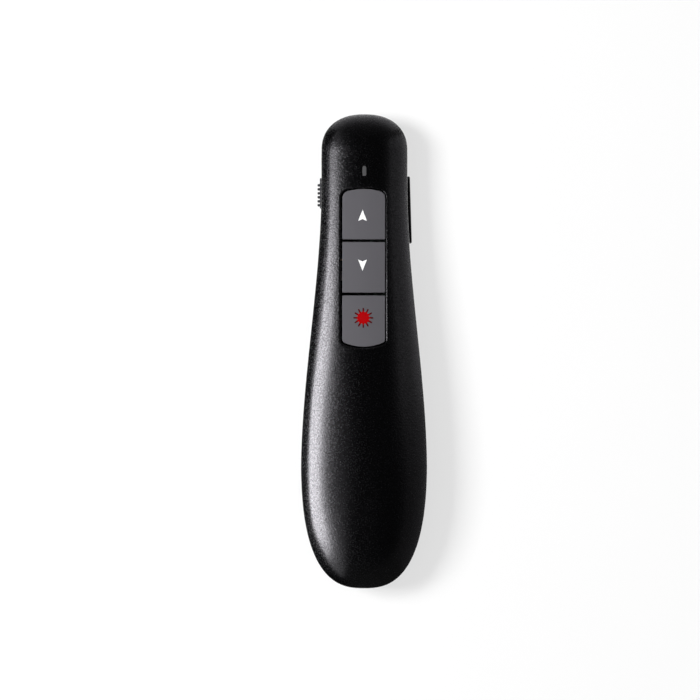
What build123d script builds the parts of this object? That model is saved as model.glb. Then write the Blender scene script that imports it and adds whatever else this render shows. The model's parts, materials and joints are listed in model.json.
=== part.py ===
from build123d import *
import math
import os

# A wireless presentation clicker, lying on its flat underside. Millimetres.
# +Y points to the nose, where the laser leaves, +Z up, out of the keys.
# +X points to the side that holds the receiver, -X to the power switch.
# The origin is on the table, under the middle of the body.

# ---- Overall form -----------------------------------------------------------------------------
LENGTH = 130.0
END_Y = LENGTH / 2
PALM_HALF_WIDTH = 17.3
NECK_HALF_WIDTH = 11.8
PALM_Y = -34.0  # from here towards the nose the width eases down to the neck's
NECK_Y = 45.3
NOSE_LENGTH = 10.0  # the ends close as superellipses of these lengths and powers
NOSE_POWER = 2.27
TAIL_LENGTH = 37.0
TAIL_POWER = 2.64

PALM_TOP = 22.5
NOSE_TOP = 16.2
NOSE_TOP_Y = 60.0  # the top line falls from the palm to here
PARTING_Z = 8.4
CROWN_DROP = 0.72  # drop scale of the crown, per half width
CROWN_POWERS = {2: 0.42, 6: 0.325, 10: 0.1}  # how the drop grows from the middle out to the edge
SHOULDER_RADIUS = 1.2

# ---- Shells -----------------------------------------------------------------------------------
WALL = 1.6
TOP_WALL = 2.0
FLOOR = 1.5
WALL_DRAFT = 0.3  # how far the lower shell's wall leans in at its foot
FOOT_RADIUS = 2.0
LIP_HEIGHT = 0.9  # tongue on the lower shell's rim, inside the upper shell's skirt
LIP_OUTER = 0.85
LIP_GAP = 0.1
REVEAL_DEPTH = 0.3  # shadow line at the parting
REVEAL_HEIGHT = 0.35
FIT = 0.15
WELD = 0.3  # how far two forms of one piece reach into each other to fuse

# ---- Keys -------------------------------------------------------------------------------------
KEY_HALF_WIDTH = 6.0
KEY_LENGTH = 14.0
KEY_GAP = 0.72
KEYS_FRONT_Y = 44.55
KEYS_REAR_Y = KEYS_FRONT_Y - 3 * KEY_LENGTH - 2 * KEY_GAP
KEY_REARS = {
    "page_up": KEYS_FRONT_Y - KEY_LENGTH,
    "page_down": KEYS_FRONT_Y - 2 * KEY_LENGTH - KEY_GAP,
    "laser": KEYS_REAR_Y,
}
KEY_ARCH = 2.0  # height of the arc that ends the column of keys at the front and at the rear
KEY_CORNER = 1.2
KEY_WINDOW_GAP = 0.45
WINDOW_EDGE = 0.35
KEY_SINK = 0.55  # below the crown, at the middle
KEY_CROWN = 0.72  # how much lower a key's sides are than its middle
KEY_EDGE = 0.3
KEY_WALL = 1.3
KEY_SKIN = 1.4
KEY_FLANGE = 0.85
KEY_FLANGE_DEPTH = 0.9
KEY_STOP_GAP = 0.2
KEY_TRAVEL = 0.5
KEY_POST_RADIUS = 1.6

# ---- Main board and what stands on it ---------------------------------------------------------
BOARD_HALF_WIDTH = 9.2
BOARD_REAR_Y = -1.5
BOARD_FRONT_Y = 57.5
BOARD_BOTTOM = 7.6
BOARD_TOP = 8.6
BOARD_CORNER = 1.5
SWITCH_SIDE = 6.0
SWITCH_HEIGHT = 2.2
SWITCH_CORNER = 0.4
SWITCH_COVER = 0.2
SWITCH_WELL = 1.2
LEG_PITCH = 4.4
LEG_LENGTH = 0.8
LEG_ROOT = 0.05  # how much of a leg's length is inside the base
LEG_WIDTH = 0.7
LEG_HEIGHT = 0.5
PLUNGER_RADIUS = 1.7
PLUNGER_FREE = 0.3  # how much further a plunger stands out than its key travels
PLUNGER_TOP = BOARD_TOP + SWITCH_HEIGHT + SWITCH_COVER + KEY_TRAVEL + PLUNGER_FREE
LED_Y = 49.6
LED_SLOT_LENGTH = 2.95
LED_SLOT_WIDTH = 1.25

# ---- Laser ------------------------------------------------------------------------------------
LASER_Z = 4.4
BARREL_RADIUS = 2.8
BARREL_BORE = 1.7
BARREL_MOUTH = 1.2
BARREL_REAR_Y = 50.5
BARREL_FRONT_Y = 62.3
APERTURE_RADIUS = 1.8
APERTURE_FLARE = 0.8
DIODE_LEADS = [(-0.8, 0.0), (0.8, 0.0), (0.0, 0.8)]
LEAD_RADIUS = 0.22

# ---- Power switch -----------------------------------------------------------------------------
KNOB_REAR_Y = 39.25
KNOB_LENGTH = 8.25
KNOB_MID_Y = KNOB_REAR_Y + KNOB_LENGTH / 2
KNOB_HEIGHT = 4.0
KNOB_Z = 5.3
KNOB_FACE_X = -12.25
KNOB_BACK_X = -11.1
KNOB_TRAVEL = 2.0
RIB_COUNT = 6
RIB_PITCH = 1.1
RIB_WIDTH = 0.6
RIB_TIP_X = -12.9
RIB_FIRST_Y = 40.1
RIB_MARGIN = 0.35
STEM_LENGTH = 3.2
STEM_HEIGHT = 2.8
STEM_END_X = -10.05
LEVER_SIDE = 1.5
LEVER_TIP_X = -10.95
CAN_LENGTH = 8.6
CAN_FACE_X = -9.85
CAN_BACK_X = -6.5

# ---- Receiver ---------------------------------------------------------------------------------
RECEIVER_REAR_Y = 29.65
RECEIVER_FRONT_Y = 48.05
RECEIVER_MID_Y = (RECEIVER_REAR_Y + RECEIVER_FRONT_Y) / 2
RECEIVER_PROUD = 0.72
RECEIVER_BOTTOM = 1.75
RECEIVER_TOP = 7.35
RECEIVER_MID_Z = (RECEIVER_BOTTOM + RECEIVER_TOP) / 2
RECEIVER_INNER_X = 7.0
RECEIVER_SEAT_X = RECEIVER_INNER_X + 3.0  # how deep the plug's tube sits in the housing
PLUG_WIDTH = 12.0
PLUG_HEIGHT = 4.5
PLUG_LENGTH = 12.0
PLUG_SHEET = 0.3
PLUG_TIP_X = RECEIVER_INNER_X - PLUG_LENGTH
PLUG_LOW = RECEIVER_MID_Z - PLUG_HEIGHT / 2
PLUG_HIGH = RECEIVER_MID_Z + PLUG_HEIGHT / 2
TONGUE_HEIGHT = 1.9
TONGUE_BOTTOM = PLUG_LOW + PLUG_SHEET + 0.02
TONGUE_TOP = TONGUE_BOTTOM + TONGUE_HEIGHT
CONTACT_PADS = [(-3.5, 7.4), (-1.0, 6.4), (1.0, 6.4), (3.5, 7.4)]  # places and lengths
PAD_WIDTH = 1.0
PAD_HEIGHT = 0.1
DOCK_WALL = 1.0
DOCK_GAP = 0.2
DOCK_END_X = PLUG_TIP_X - 0.25

# ---- Batteries --------------------------------------------------------------------------------
CELL_RADIUS = 5.25
CELL_LENGTH = 44.5
CELL_X = 5.45
CELL_Z = 7.15
CELL_EDGE = 0.5
NUB_RADIUS = 1.9
NUB_LENGTH = 0.9
BAY_CLEARANCE = 0.25
BAY_WALL = 1.2
BAY_FOOT = 0.7  # how much wider the bay's walls are at the foot, beside the door's rails
BAY_REAR_Y = -55.0
BAY_FRONT_Y = -4.6
CONTACT_SHEET = 0.4
CONTACT_WIDTH = 7.5
CONTACT_REACH = 4.0
CONTACT_CORNER = 1.0
TAB_WIDTH = 3.0
TAB_REACH = 2.5  # how far a solder tab lies on the board
SPRING_WIRE = 0.3
SPRING_RADIUS = 3.6
SPRING_TURNS = 2.5
SPRING_CONE = -12

# ---- Battery door -----------------------------------------------------------------------------
DOOR_HALF_WIDTH = 11.2
DOOR_FRONT_Y = -4.2
RAIL_WIDTH = 0.8
RAIL_BOTTOM = 0.9
RAIL_REAR_Y = -52.0
LATCH_HALF_WIDTH = 3.0
LATCH_LENGTH = 1.3
GROOVE_COUNT = 5
GROOVE_PITCH = 1.7
GROOVE_REACH = 5.5
GROOVE_STEP = 0.9
GROOVE_RADIUS = 0.75
GROOVE_Z = -0.35

# ---- Screws -----------------------------------------------------------------------------------
SCREW_PLACES = [(-7.2, 53.2), (7.2, 53.2), (-9.6, 1.0), (9.6, 1.0)]
BOSS_RADIUS = 2.6
UPPER_BOSS_RADIUS = 2.2
SCREW_RADIUS = 0.95
SCREW_SEAT_Z = 2.2
SCREW_HEAD_RADIUS = 1.8
SCREW_HEAD_HEIGHT = 1.3
SCREW_LENGTH = 9.0
CROSS_REACH = 1.1
CROSS_WIDTH = 0.4
CROSS_DEPTH = 0.6

ABOVE = 30.0  # higher than the whole object, for forms that a curved top cuts off
FAR = 100.0  # past the whole object, for cutting tools


# ---- The body's form --------------------------------------------------------------------------
def ease(share):
    """0 at 0, 1 at 1, level at both ends."""
    share = min(max(share, 0.0), 1.0)
    return share * share * (3 - 2 * share)


def open_half_width(y):
    """Half width of the body before its ends close."""
    share = ease((y - PALM_Y) / (NECK_Y - PALM_Y))
    return PALM_HALF_WIDTH + (NECK_HALF_WIDTH - PALM_HALF_WIDTH) * share


def end_share(y):
    """How far y is into an end's superellipse, 0 to 1, and that end's power."""
    nose = (y - (END_Y - NOSE_LENGTH)) / NOSE_LENGTH
    tail = (-y - (END_Y - TAIL_LENGTH)) / TAIL_LENGTH
    if nose > tail:
        return max(nose, 0.0), NOSE_POWER
    return max(tail, 0.0), TAIL_POWER


def half_width(y):
    """Half width of the outline: the open width, closed at each end by a superellipse."""
    share, power = end_share(y)
    return open_half_width(y) * max(0.0, 1 - share**power) ** (1 / power)


def top_line(y):
    """Height of the crown along the middle, before its ends roll down."""
    return PALM_TOP + (NOSE_TOP - PALM_TOP) * ease((y - PALM_Y) / (NOSE_TOP_Y - PALM_Y))


def crown(x, y):
    """Height of the upper shell's outer face. The outline is where radius is 1."""
    width = open_half_width(y)
    share, power = end_share(y)
    radius = (abs(x / width) ** power + share**power) ** (1 / power)
    fall = sum(weight * radius**grade for grade, weight in CROWN_POWERS.items())
    return top_line(y) - CROWN_DROP * width * fall


def key_top(x, y):
    """Height of the keys' faces: flatter across than the crown around them."""
    return top_line(y) - KEY_SINK - KEY_CROWN * (x / KEY_HALF_WIDTH) ** 2


def edge_points(inset):
    """Points down the +X side of the outline, from nose tip to tail tip, moved in square to the edge."""
    nose_steps, body_steps, tail_steps = 7, 9, 10
    body_front = END_Y - NOSE_LENGTH
    body_rear = TAIL_LENGTH - END_Y
    places = []
    for step in range(nose_steps):
        share = math.cos(step / nose_steps * math.pi / 2) ** (2 / NOSE_POWER)
        places.append(body_front + NOSE_LENGTH * share)
    for step in range(body_steps):
        places.append(body_front + (body_rear - body_front) * step / body_steps)
    for step in range(tail_steps + 1):
        share = math.sin(step / tail_steps * math.pi / 2) ** (2 / TAIL_POWER)
        places.append(body_rear - TAIL_LENGTH * share)
    points = []
    probe = 0.001
    for y in places[1:-1]:
        slope = (half_width(y + probe) - half_width(y - probe)) / (2 * probe)
        size = math.hypot(1, slope)
        points.append((half_width(y) - inset / size, y + inset * slope / size))
    return [(0, END_Y - inset)] + points + [(0, inset - END_Y)]


def outline(inset=0.0):
    """The plan outline as a flat face, moved in by an even amount."""
    right = edge_points(inset)
    left = [(-x, y) for x, y in reversed(right[1:-1])]
    return make_face([Spline(right + left, periodic=True)])


def outline_prism(inset, bottom, top):
    return extrude(Pos(0, 0, bottom) * outline(inset), amount=top - bottom)


def under_surface(height, sink, x_reach, rear_y, front_y, columns, rows):
    """Everything from a curved top, height(x, y) less sink, down to below the table."""
    middle, reach = (rear_y + front_y) / 2, (front_y - rear_y) / 2
    grid = []
    for row in range(rows + 1):
        y = middle - reach * math.cos(math.pi * row / rows)
        line = []
        for column in range(columns + 1):
            x = -x_reach(y) * math.cos(math.pi * column / columns)
            line.append((x, y, height(x, y) - sink))
        grid.append(line)
    face = Face.make_surface_from_array_of_points(grid, tol=0.005, min_deg=3, max_deg=5)
    below = extrude(face, amount=2 * FAR, dir=(0, 0, -1))
    return below & Pos(0, 0, FAR / 2 - 5) * Box(FAR, 2 * FAR, FAR)


def crown_reach(y):
    """Half width of the crown's surface: a little past the outline, so that the outline trims it."""
    return 0.5 + 1.05 * half_width(y / 1.02)


def crown_body(sink, columns=18, rows=40):
    """What lies under the crown, lowered by sink."""
    reach = END_Y + 0.7
    return under_surface(crown, sink, crown_reach, -reach, reach, columns, rows)


def roof_body(sink):
    """The same for hidden inner faces, from fewer points."""
    return crown_body(sink, 14, 30)


def key_top_body(sink):
    """What lies under the keys' faces, lowered by sink."""
    rear, front = KEYS_REAR_Y - 3, KEYS_FRONT_Y + 3
    return under_surface(key_top, sink, lambda y: KEY_HALF_WIDTH + 2, rear, front, 8, 16)


# ---- Simple solids ----------------------------------------------------------------------------
def slab(x0, x1, y0, y1, z0, z1):
    """A box by its faces."""
    return Pos((x0 + x1) / 2, (y0 + y1) / 2, (z0 + z1) / 2) * Box(x1 - x0, y1 - y0, z1 - z0)


def block_at(x, y, length_x, length_y, z0, z1):
    """A box by the middle of its plan."""
    return slab(x - length_x / 2, x + length_x / 2, y - length_y / 2, y + length_y / 2, z0, z1)


def post(x, y, z0, z1, radius):
    return Pos(x, y, (z0 + z1) / 2) * Cylinder(radius, z1 - z0)


def rod(x, z, y0, y1, radius):
    """A round bar along Y."""
    return Pos(x, (y0 + y1) / 2, z) * Rot(90, 0, 0) * Cylinder(radius, y1 - y0)


def capsule(x, y, length, width, z0, z1):
    """An upright slot shape, long along Y, with round ends."""
    return Pos(x, y, z0) * extrude(Rot(0, 0, 90) * SlotOverall(length, width), amount=z1 - z0)


# ---- Upper shell ------------------------------------------------------------------------------
def key_bank(grow):
    """Plan of the three keys together, arched at both ends, grown by an even amount."""
    side = KEY_HALF_WIDTH + grow
    front, rear = KEYS_FRONT_Y + grow, KEYS_REAR_Y - grow
    edges = [
        ThreePointArc((-side, front - KEY_ARCH), (0, front), (side, front - KEY_ARCH)),
        Line((side, front - KEY_ARCH), (side, rear + KEY_ARCH)),
        ThreePointArc((side, rear + KEY_ARCH), (0, rear), (-side, rear + KEY_ARCH)),
        Line((-side, rear + KEY_ARCH), (-side, front - KEY_ARCH)),
    ]
    plan = make_face(edges)
    smallest = 0.3
    return fillet(plan.vertices(), max(KEY_CORNER + grow, smallest))


def on_key_rim(edge):
    """Whether an edge runs round the key opening, on the crown."""
    place = edge.center()
    beside = abs(place.X) < KEY_HALF_WIDTH + 1 and KEYS_REAR_Y - 2 < place.Y < KEYS_FRONT_Y + 2
    return beside and abs(place.Z - crown(place.X, place.Y)) < 0.3


def is_shoulder(edge):
    """Whether an edge runs all round the body, above the parting."""
    return edge.length > LENGTH and edge.bounding_box().max.Z > PARTING_Z + 1


def upper_shell():
    """The domed top, hollowed, with screw bosses, the key opening and the status light's slot."""
    block = outline_prism(0, PARTING_Z, ABOVE) & crown_body(0)
    shell = fillet([edge for edge in block.edges() if is_shoulder(edge)], SHOULDER_RADIUS)
    cavity = outline_prism(WALL, PARTING_Z, ABOVE) & roof_body(TOP_WALL)
    cavity += outline_prism(LIP_OUTER - LIP_GAP, PARTING_Z - 1, PARTING_Z + LIP_HEIGHT + LIP_GAP)
    shell -= cavity
    roof = roof_body(TOP_WALL - WELD)
    boss_foot = BOARD_BOTTOM + 0.1
    shell += [post(x, y, boss_foot, ABOVE, UPPER_BOSS_RADIUS) & roof for x, y in SCREW_PLACES]
    shell -= extrude(key_bank(KEY_WINDOW_GAP), amount=ABOVE)
    shell = fillet([edge for edge in shell.edges() if on_key_rim(edge)], WINDOW_EDGE)
    slot_gap = 0.1
    shell -= capsule(0, LED_Y, LED_SLOT_LENGTH + slot_gap, LED_SLOT_WIDTH + slot_gap, 0, ABOVE)
    thread_gap, thread_top = 0.01, BOARD_BOTTOM + 5
    for x, y in SCREW_PLACES:
        shell -= post(x, y, 0, thread_top, SCREW_RADIUS + thread_gap)
    return shell


# ---- Lower shell ------------------------------------------------------------------------------
def lower_block():
    """The lower shell's outer form, solid, up to the shadow line: drafted walls and a rounded foot."""
    foot = outline(WALL_DRAFT)
    rim = Pos(0, 0, PARTING_Z - REVEAL_HEIGHT) * outline()
    block = loft([foot, rim], ruled=True)
    bottom_edges = block.edges().group_by(Axis.Z)[0]
    return fillet(bottom_edges, FOOT_RADIUS)


def tub():
    """The open tub, stepped in at its rim for the shadow line and again for the tongue."""
    shell = lower_block()
    shell += outline_prism(REVEAL_DEPTH, PARTING_Z - REVEAL_HEIGHT, PARTING_Z)
    shell += outline_prism(LIP_OUTER, PARTING_Z, PARTING_Z + LIP_HEIGHT)
    return shell - outline_prism(WALL, FLOOR, ABOVE)


def bay_form(clearance, y0, y1):
    """Two round troughs side by side, open to below."""
    radius = CELL_RADIUS + clearance
    form = rod(-CELL_X, CELL_Z, y0, y1, radius) + rod(CELL_X, CELL_Z, y0, y1, radius)
    reach = CELL_X + radius
    return form + slab(-reach, reach, y0, y1, -1, CELL_Z)


def bay_walls():
    """The battery bay's walls, thick enough at the foot to stand beside the door's rails."""
    rear, front = BAY_REAR_Y - BAY_WALL, BAY_FRONT_Y + BAY_WALL
    walls = bay_form(BAY_CLEARANCE + BAY_WALL, rear, front)
    foot = CELL_X + CELL_RADIUS + BAY_CLEARANCE + BAY_WALL + BAY_FOOT
    walls += slab(-foot, foot, rear, front, 0, CELL_Z)
    inside = outline_prism(WALL + FIT, 0, ABOVE)
    return walls & inside & slab(-FAR, FAR, -FAR, FAR, 0.5, ABOVE)


def bay_hollow():
    """What the cells and their contacts take out of the bay."""
    hollow = bay_form(BAY_CLEARANCE, BAY_REAR_Y, BAY_FRONT_Y)
    bridge = CELL_X + CONTACT_WIDTH / 2 + FIT
    hollow += slab(-bridge, bridge, BAY_REAR_Y, BAY_REAR_Y + 1, 0, CELL_Z + CONTACT_REACH + FIT)
    tab_slot, tab_low, tab_high = TAB_WIDTH + 0.2, BOARD_TOP - 0.05, BOARD_TOP + 0.5
    middle = BAY_FRONT_Y + 0.5
    for x in (-CELL_X, CELL_X):
        hollow += block_at(x, middle, tab_slot, 3.0, tab_low, tab_high)
    return hollow


def door_tool(gap):
    """What the battery door takes out of the underside, grown by a gap."""
    side, top = DOOR_HALF_WIDTH + gap, FLOOR + gap
    panel = slab(-side, side, -FAR, DOOR_FRONT_Y + gap, -1, top)
    rail_rear = -FAR if gap else RAIL_REAR_Y
    low = RAIL_BOTTOM - gap
    rails = slab(-side - RAIL_WIDTH, side + RAIL_WIDTH, rail_rear, DOOR_FRONT_Y - 1 + gap, low, top)
    latch = LATCH_HALF_WIDTH + gap
    latch_front = DOOR_FRONT_Y + LATCH_LENGTH + gap
    return panel + rails + slab(-latch, latch, DOOR_FRONT_Y - 1, latch_front, low, top)


def receiver_dock(shell):
    """Walls round the stored receiver, its opening in the side, and two guides for the plug."""
    rear, front = RECEIVER_REAR_Y - DOCK_GAP, RECEIVER_FRONT_Y + DOCK_GAP
    outer_end, sunk = DOCK_END_X - DOCK_WALL, FLOOR - WELD
    skirt = outline_prism(WALL - WELD, sunk, BOARD_BOTTOM)
    walls = slab(outer_end, FAR, rear - DOCK_WALL, front + DOCK_WALL, sunk, BOARD_BOTTOM)
    shell += walls & skirt
    shell -= slab(DOCK_END_X, FAR, rear, front, FLOOR, RECEIVER_TOP + DOCK_GAP)
    open_x = RECEIVER_INNER_X + 2
    shell -= slab(DOCK_END_X, open_x, rear, front, FLOOR, BOARD_BOTTOM + 1)
    guide_y = PLUG_WIDTH / 2 + DOCK_GAP + DOCK_WALL / 2
    guide_end = RECEIVER_INNER_X - 1
    length, middle = guide_end - DOCK_END_X + DOCK_GAP, (guide_end + DOCK_END_X - DOCK_GAP) / 2
    for side in (-1, 1):
        y = RECEIVER_MID_Y + side * guide_y
        shell += block_at(middle, y, length, DOCK_WALL, FLOOR - DOCK_GAP, RECEIVER_TOP)
    return shell


def knob_opening():
    """The shallow recess that the power knob slides in, and the slot for its stem."""
    gap, end_gap = 0.2, 0.3
    rear, front = KNOB_REAR_Y - end_gap, KNOB_REAR_Y + KNOB_LENGTH + KNOB_TRAVEL + end_gap
    half = KNOB_HEIGHT / 2 + gap
    recess = slab(-FAR, KNOB_BACK_X + 0.05, rear, front, KNOB_Z - half, KNOB_Z + half)
    stem_rear = KNOB_MID_Y - STEM_LENGTH / 2 - gap
    stem_front = KNOB_MID_Y + STEM_LENGTH / 2 + gap + KNOB_TRAVEL
    half = STEM_HEIGHT / 2 + gap
    return recess + slab(-FAR, -9, stem_rear, stem_front, KNOB_Z - half, KNOB_Z + half)


def laser_cradles():
    """Two cross walls with round seats for the laser's barrel."""
    half, thickness = BARREL_RADIUS + 1.4, 1.2
    cradles = [slab(-half, half, y, y + thickness, FLOOR - WELD, LASER_Z) for y in (53.4, 59.4)]
    seat = rod(0, LASER_Z, BARREL_REAR_Y, BARREL_FRONT_Y, BARREL_RADIUS + 0.05)
    return [cradle - seat for cradle in cradles]


def laser_opening():
    """The round hole in the nose, flared outwards."""
    hole = rod(0, LASER_Z, END_Y - WALL - 1, END_Y + 1, APERTURE_RADIUS)
    flare = Cone(APERTURE_RADIUS, APERTURE_RADIUS + APERTURE_FLARE, APERTURE_FLARE)
    return hole + Pos(0, END_Y - 0.3, LASER_Z) * Rot(-90, 0, 0) * flare


def lower_shell():
    shell = tub()
    shell += bay_walls()
    shell -= bay_hollow()
    shell -= door_tool(FIT)
    for x, y in SCREW_PLACES:
        shell += post(x, y, FLOOR - 0.5, BOARD_BOTTOM, BOSS_RADIUS)
    for x, y in SCREW_PLACES:
        shell -= post(x, y, -1, SCREW_SEAT_Z, SCREW_HEAD_RADIUS + 0.2)
        shell -= post(x, y, 0, BOARD_BOTTOM + 1, SCREW_RADIUS + FIT)
    shell = receiver_dock(shell)
    shell -= knob_opening()
    shell += laser_cradles()
    return shell - laser_opening()


def battery_door():
    """A panel with side rails, a latch tongue in front and grooves to push it by."""
    door = lower_block() & door_tool(0)
    for number in range(GROOVE_COUNT):
        y = DOOR_FRONT_Y - 6 - GROOVE_PITCH * number
        length = 2 * (GROOVE_REACH - GROOVE_STEP * number)
        door -= Pos(0, y, GROOVE_Z) * Rot(0, 90, 0) * Cylinder(GROOVE_RADIUS, length)
    return door


# ---- Keys and their switches ------------------------------------------------------------------
def key_cap(rear):
    """A key: domed cap, hollow under its skin, with a flange that catches under the shell."""
    front = rear + KEY_LENGTH
    middle = (rear + front) / 2
    flange_top = crown(KEY_HALF_WIDTH + KEY_FLANGE, front) - TOP_WALL - KEY_STOP_GAP
    base = flange_top - KEY_FLANGE_DEPTH
    strip = slab(-FAR, FAR, rear, front, base, FAR)
    cap = extrude(Pos(0, 0, base) * key_bank(0), amount=20) & strip & key_top_body(0)
    top_face = cap.faces().sort_by(Axis.Z)[-1]
    cap = fillet(top_face.edges(), KEY_EDGE)
    # The flange also goes round the arched ends of the column. Beside a neighbour it stops flush.
    flange_rear = rear - KEY_FLANGE if rear < KEYS_REAR_Y + KEY_GAP else rear
    flange_front = front + KEY_FLANGE if front > KEYS_FRONT_Y - KEY_GAP else front
    flange = extrude(Pos(0, 0, base) * key_bank(KEY_FLANGE), amount=KEY_FLANGE_DEPTH)
    cap += flange & slab(-FAR, FAR, flange_rear, flange_front, 0, FAR)
    side = KEY_HALF_WIDTH - KEY_WALL
    hollow = slab(-side, side, rear + KEY_WALL, front - KEY_WALL, base - 1, FAR)
    hollow &= extrude(key_bank(-KEY_WALL), amount=FAR)
    cap -= hollow & key_top_body(KEY_SKIN)
    return cap + (post(0, middle, PLUNGER_TOP, FAR, KEY_POST_RADIUS) & key_top_body(KEY_SKIN - WELD))


def switch_base(y):
    """The switch's moulded base, with its four legs on the board."""
    top = BOARD_TOP + SWITCH_HEIGHT
    base = block_at(0, y, SWITCH_SIDE, SWITCH_SIDE, BOARD_TOP, top)
    base = fillet(base.edges().filter_by(Axis.Z), SWITCH_CORNER)
    base -= post(0, y, top - SWITCH_WELL, top + 1, PLUNGER_RADIUS + 0.35)
    leg_x = SWITCH_SIDE / 2 - LEG_ROOT + LEG_LENGTH / 2
    for x in (-leg_x, leg_x):
        for leg_y in (y - LEG_PITCH / 2, y + LEG_PITCH / 2):
            base += block_at(x, leg_y, LEG_LENGTH, LEG_WIDTH, BOARD_TOP, BOARD_TOP + LEG_HEIGHT)
    return base


def switch_cover(y):
    """The pressed steel plate on the base, with a hole for the plunger."""
    bottom = BOARD_TOP + SWITCH_HEIGHT
    cover = block_at(0, y, SWITCH_SIDE, SWITCH_SIDE, bottom, bottom + SWITCH_COVER)
    cover = fillet(cover.edges().filter_by(Axis.Z), SWITCH_CORNER)
    return cover - post(0, y, bottom - 1, bottom + 1, PLUNGER_RADIUS + 0.2)


def switch_plunger(y):
    bottom = BOARD_TOP + SWITCH_HEIGHT - KEY_TRAVEL - 0.1
    return post(0, y, bottom, PLUNGER_TOP, PLUNGER_RADIUS)


# ---- Main board -------------------------------------------------------------------------------
def main_board():
    board = slab(-BOARD_HALF_WIDTH, BOARD_HALF_WIDTH, BOARD_REAR_Y, BOARD_FRONT_Y, BOARD_BOTTOM, BOARD_TOP)
    board = fillet(board.edges().filter_by(Axis.Z), BOARD_CORNER)
    for x, y in SCREW_PLACES:
        board -= post(x, y, 0, BOARD_TOP + 1, UPPER_BOSS_RADIUS + 0.2)
    return board


def on_board(x, y, length_x, length_y, height):
    return block_at(x, y, length_x, length_y, BOARD_TOP, BOARD_TOP + height)


def radio_chip():
    """A flat package with a dimple at its first pin."""
    x, y, side, height = -6.4, 15.5, 4.0, 0.85
    dimple_inset, dimple_radius, dimple_depth = 0.6, 0.25, 0.1
    chip = on_board(x, y, side, side, height)
    corner = side / 2 - dimple_inset
    floor = BOARD_TOP + height - dimple_depth
    return chip - post(x - corner, y + corner, floor, floor + 1, dimple_radius)


def crystal():
    can = on_board(-6.4, 20.6, 3.2, 2.5, 0.7)
    return fillet(can.edges().filter_by(Axis.Z), 0.4)


def small_components():
    """Resistors and capacitors, and the laser's driver, each its own solid."""
    places = [(x, y) for x in (5.2, 7.4) for y in (13.0, 15.0, 17.0)]
    places += [(-4.4, 47.5), (-6.4, 25.0), (3.0, 49.6), (-3.0, 51.5)]
    chips = [on_board(x, y, 1.0, 0.5, 0.5) for x, y in places]
    driver = on_board(2.6, 53.6, 2.9, 1.4, 1.0)
    return Compound(chips + [driver])


def status_led():
    """A side-soldered package: a flat base with its lit block on top."""
    base = on_board(0, LED_Y, 0.8, 1.6, 0.3)
    return base + on_board(0, LED_Y, 0.8, 1.0, 0.7)


def light_pipe():
    """Carries the status light up to the slot, with a foot that stops it falling out."""
    bottom, flange_rise, flange_width = BOARD_TOP + 1.1, 2.0, 0.7
    pipe = capsule(0, LED_Y, LED_SLOT_LENGTH, LED_SLOT_WIDTH, bottom, ABOVE) & crown_body(0.03)
    length, width = LED_SLOT_LENGTH + 2 * flange_width, LED_SLOT_WIDTH + 2 * flange_width
    flange = capsule(0, LED_Y, length, width, bottom + flange_rise, ABOVE)
    return pipe + (flange & roof_body(TOP_WALL + 0.05))


# ---- Laser ------------------------------------------------------------------------------------
def laser_barrel():
    """A turned sleeve: wide bore from the rear, a narrower mouth in front of the lens."""
    barrel = rod(0, LASER_Z, BARREL_REAR_Y, BARREL_FRONT_Y, BARREL_RADIUS)
    barrel = chamfer(barrel.edges().filter_by(GeomType.CIRCLE), 0.3)
    barrel -= rod(0, LASER_Z, BARREL_REAR_Y - 1, BARREL_FRONT_Y - 1, BARREL_BORE)
    return barrel - rod(0, LASER_Z, BARREL_REAR_Y - 1, BARREL_FRONT_Y + 1, BARREL_MOUTH)


def laser_lens():
    """A plano-convex lens, its bulge towards the diode."""
    flat_y, thickness, curve = BARREL_FRONT_Y - 1.02, 1.2, 2.6
    ball = Pos(0, flat_y - thickness + curve, LASER_Z) * Sphere(curve)
    return rod(0, LASER_Z, flat_y - 2, flat_y, BARREL_BORE - 0.02) & ball


def laser_diode():
    """The can, its flange against the small board, and three leads through that board."""
    flange_y, can_y, tip_y = BARREL_REAR_Y + 0.6, BARREL_REAR_Y + 1.6, BARREL_REAR_Y + 4.0
    diode = rod(0, LASER_Z, flange_y, can_y, BARREL_BORE - 0.02) + rod(0, LASER_Z, can_y, tip_y, 1.2)
    for x, z in DIODE_LEADS:
        diode += rod(x, LASER_Z + z, BARREL_REAR_Y - 1, flange_y, LEAD_RADIUS)
    return diode


def laser_board():
    front, thickness, half = BARREL_REAR_Y - 0.1, 0.8, 2.7
    board = slab(-half, half, front - thickness, front, LASER_Z - 2.6, LASER_Z + half)
    for x, z in DIODE_LEADS:
        board -= rod(x, LASER_Z + z, front - 3, front + 3, LEAD_RADIUS + 0.03)
    return board


def laser_window():
    return rod(0, LASER_Z, END_Y - WALL + 0.3, END_Y - 0.55, APERTURE_RADIUS - 0.02)


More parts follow.
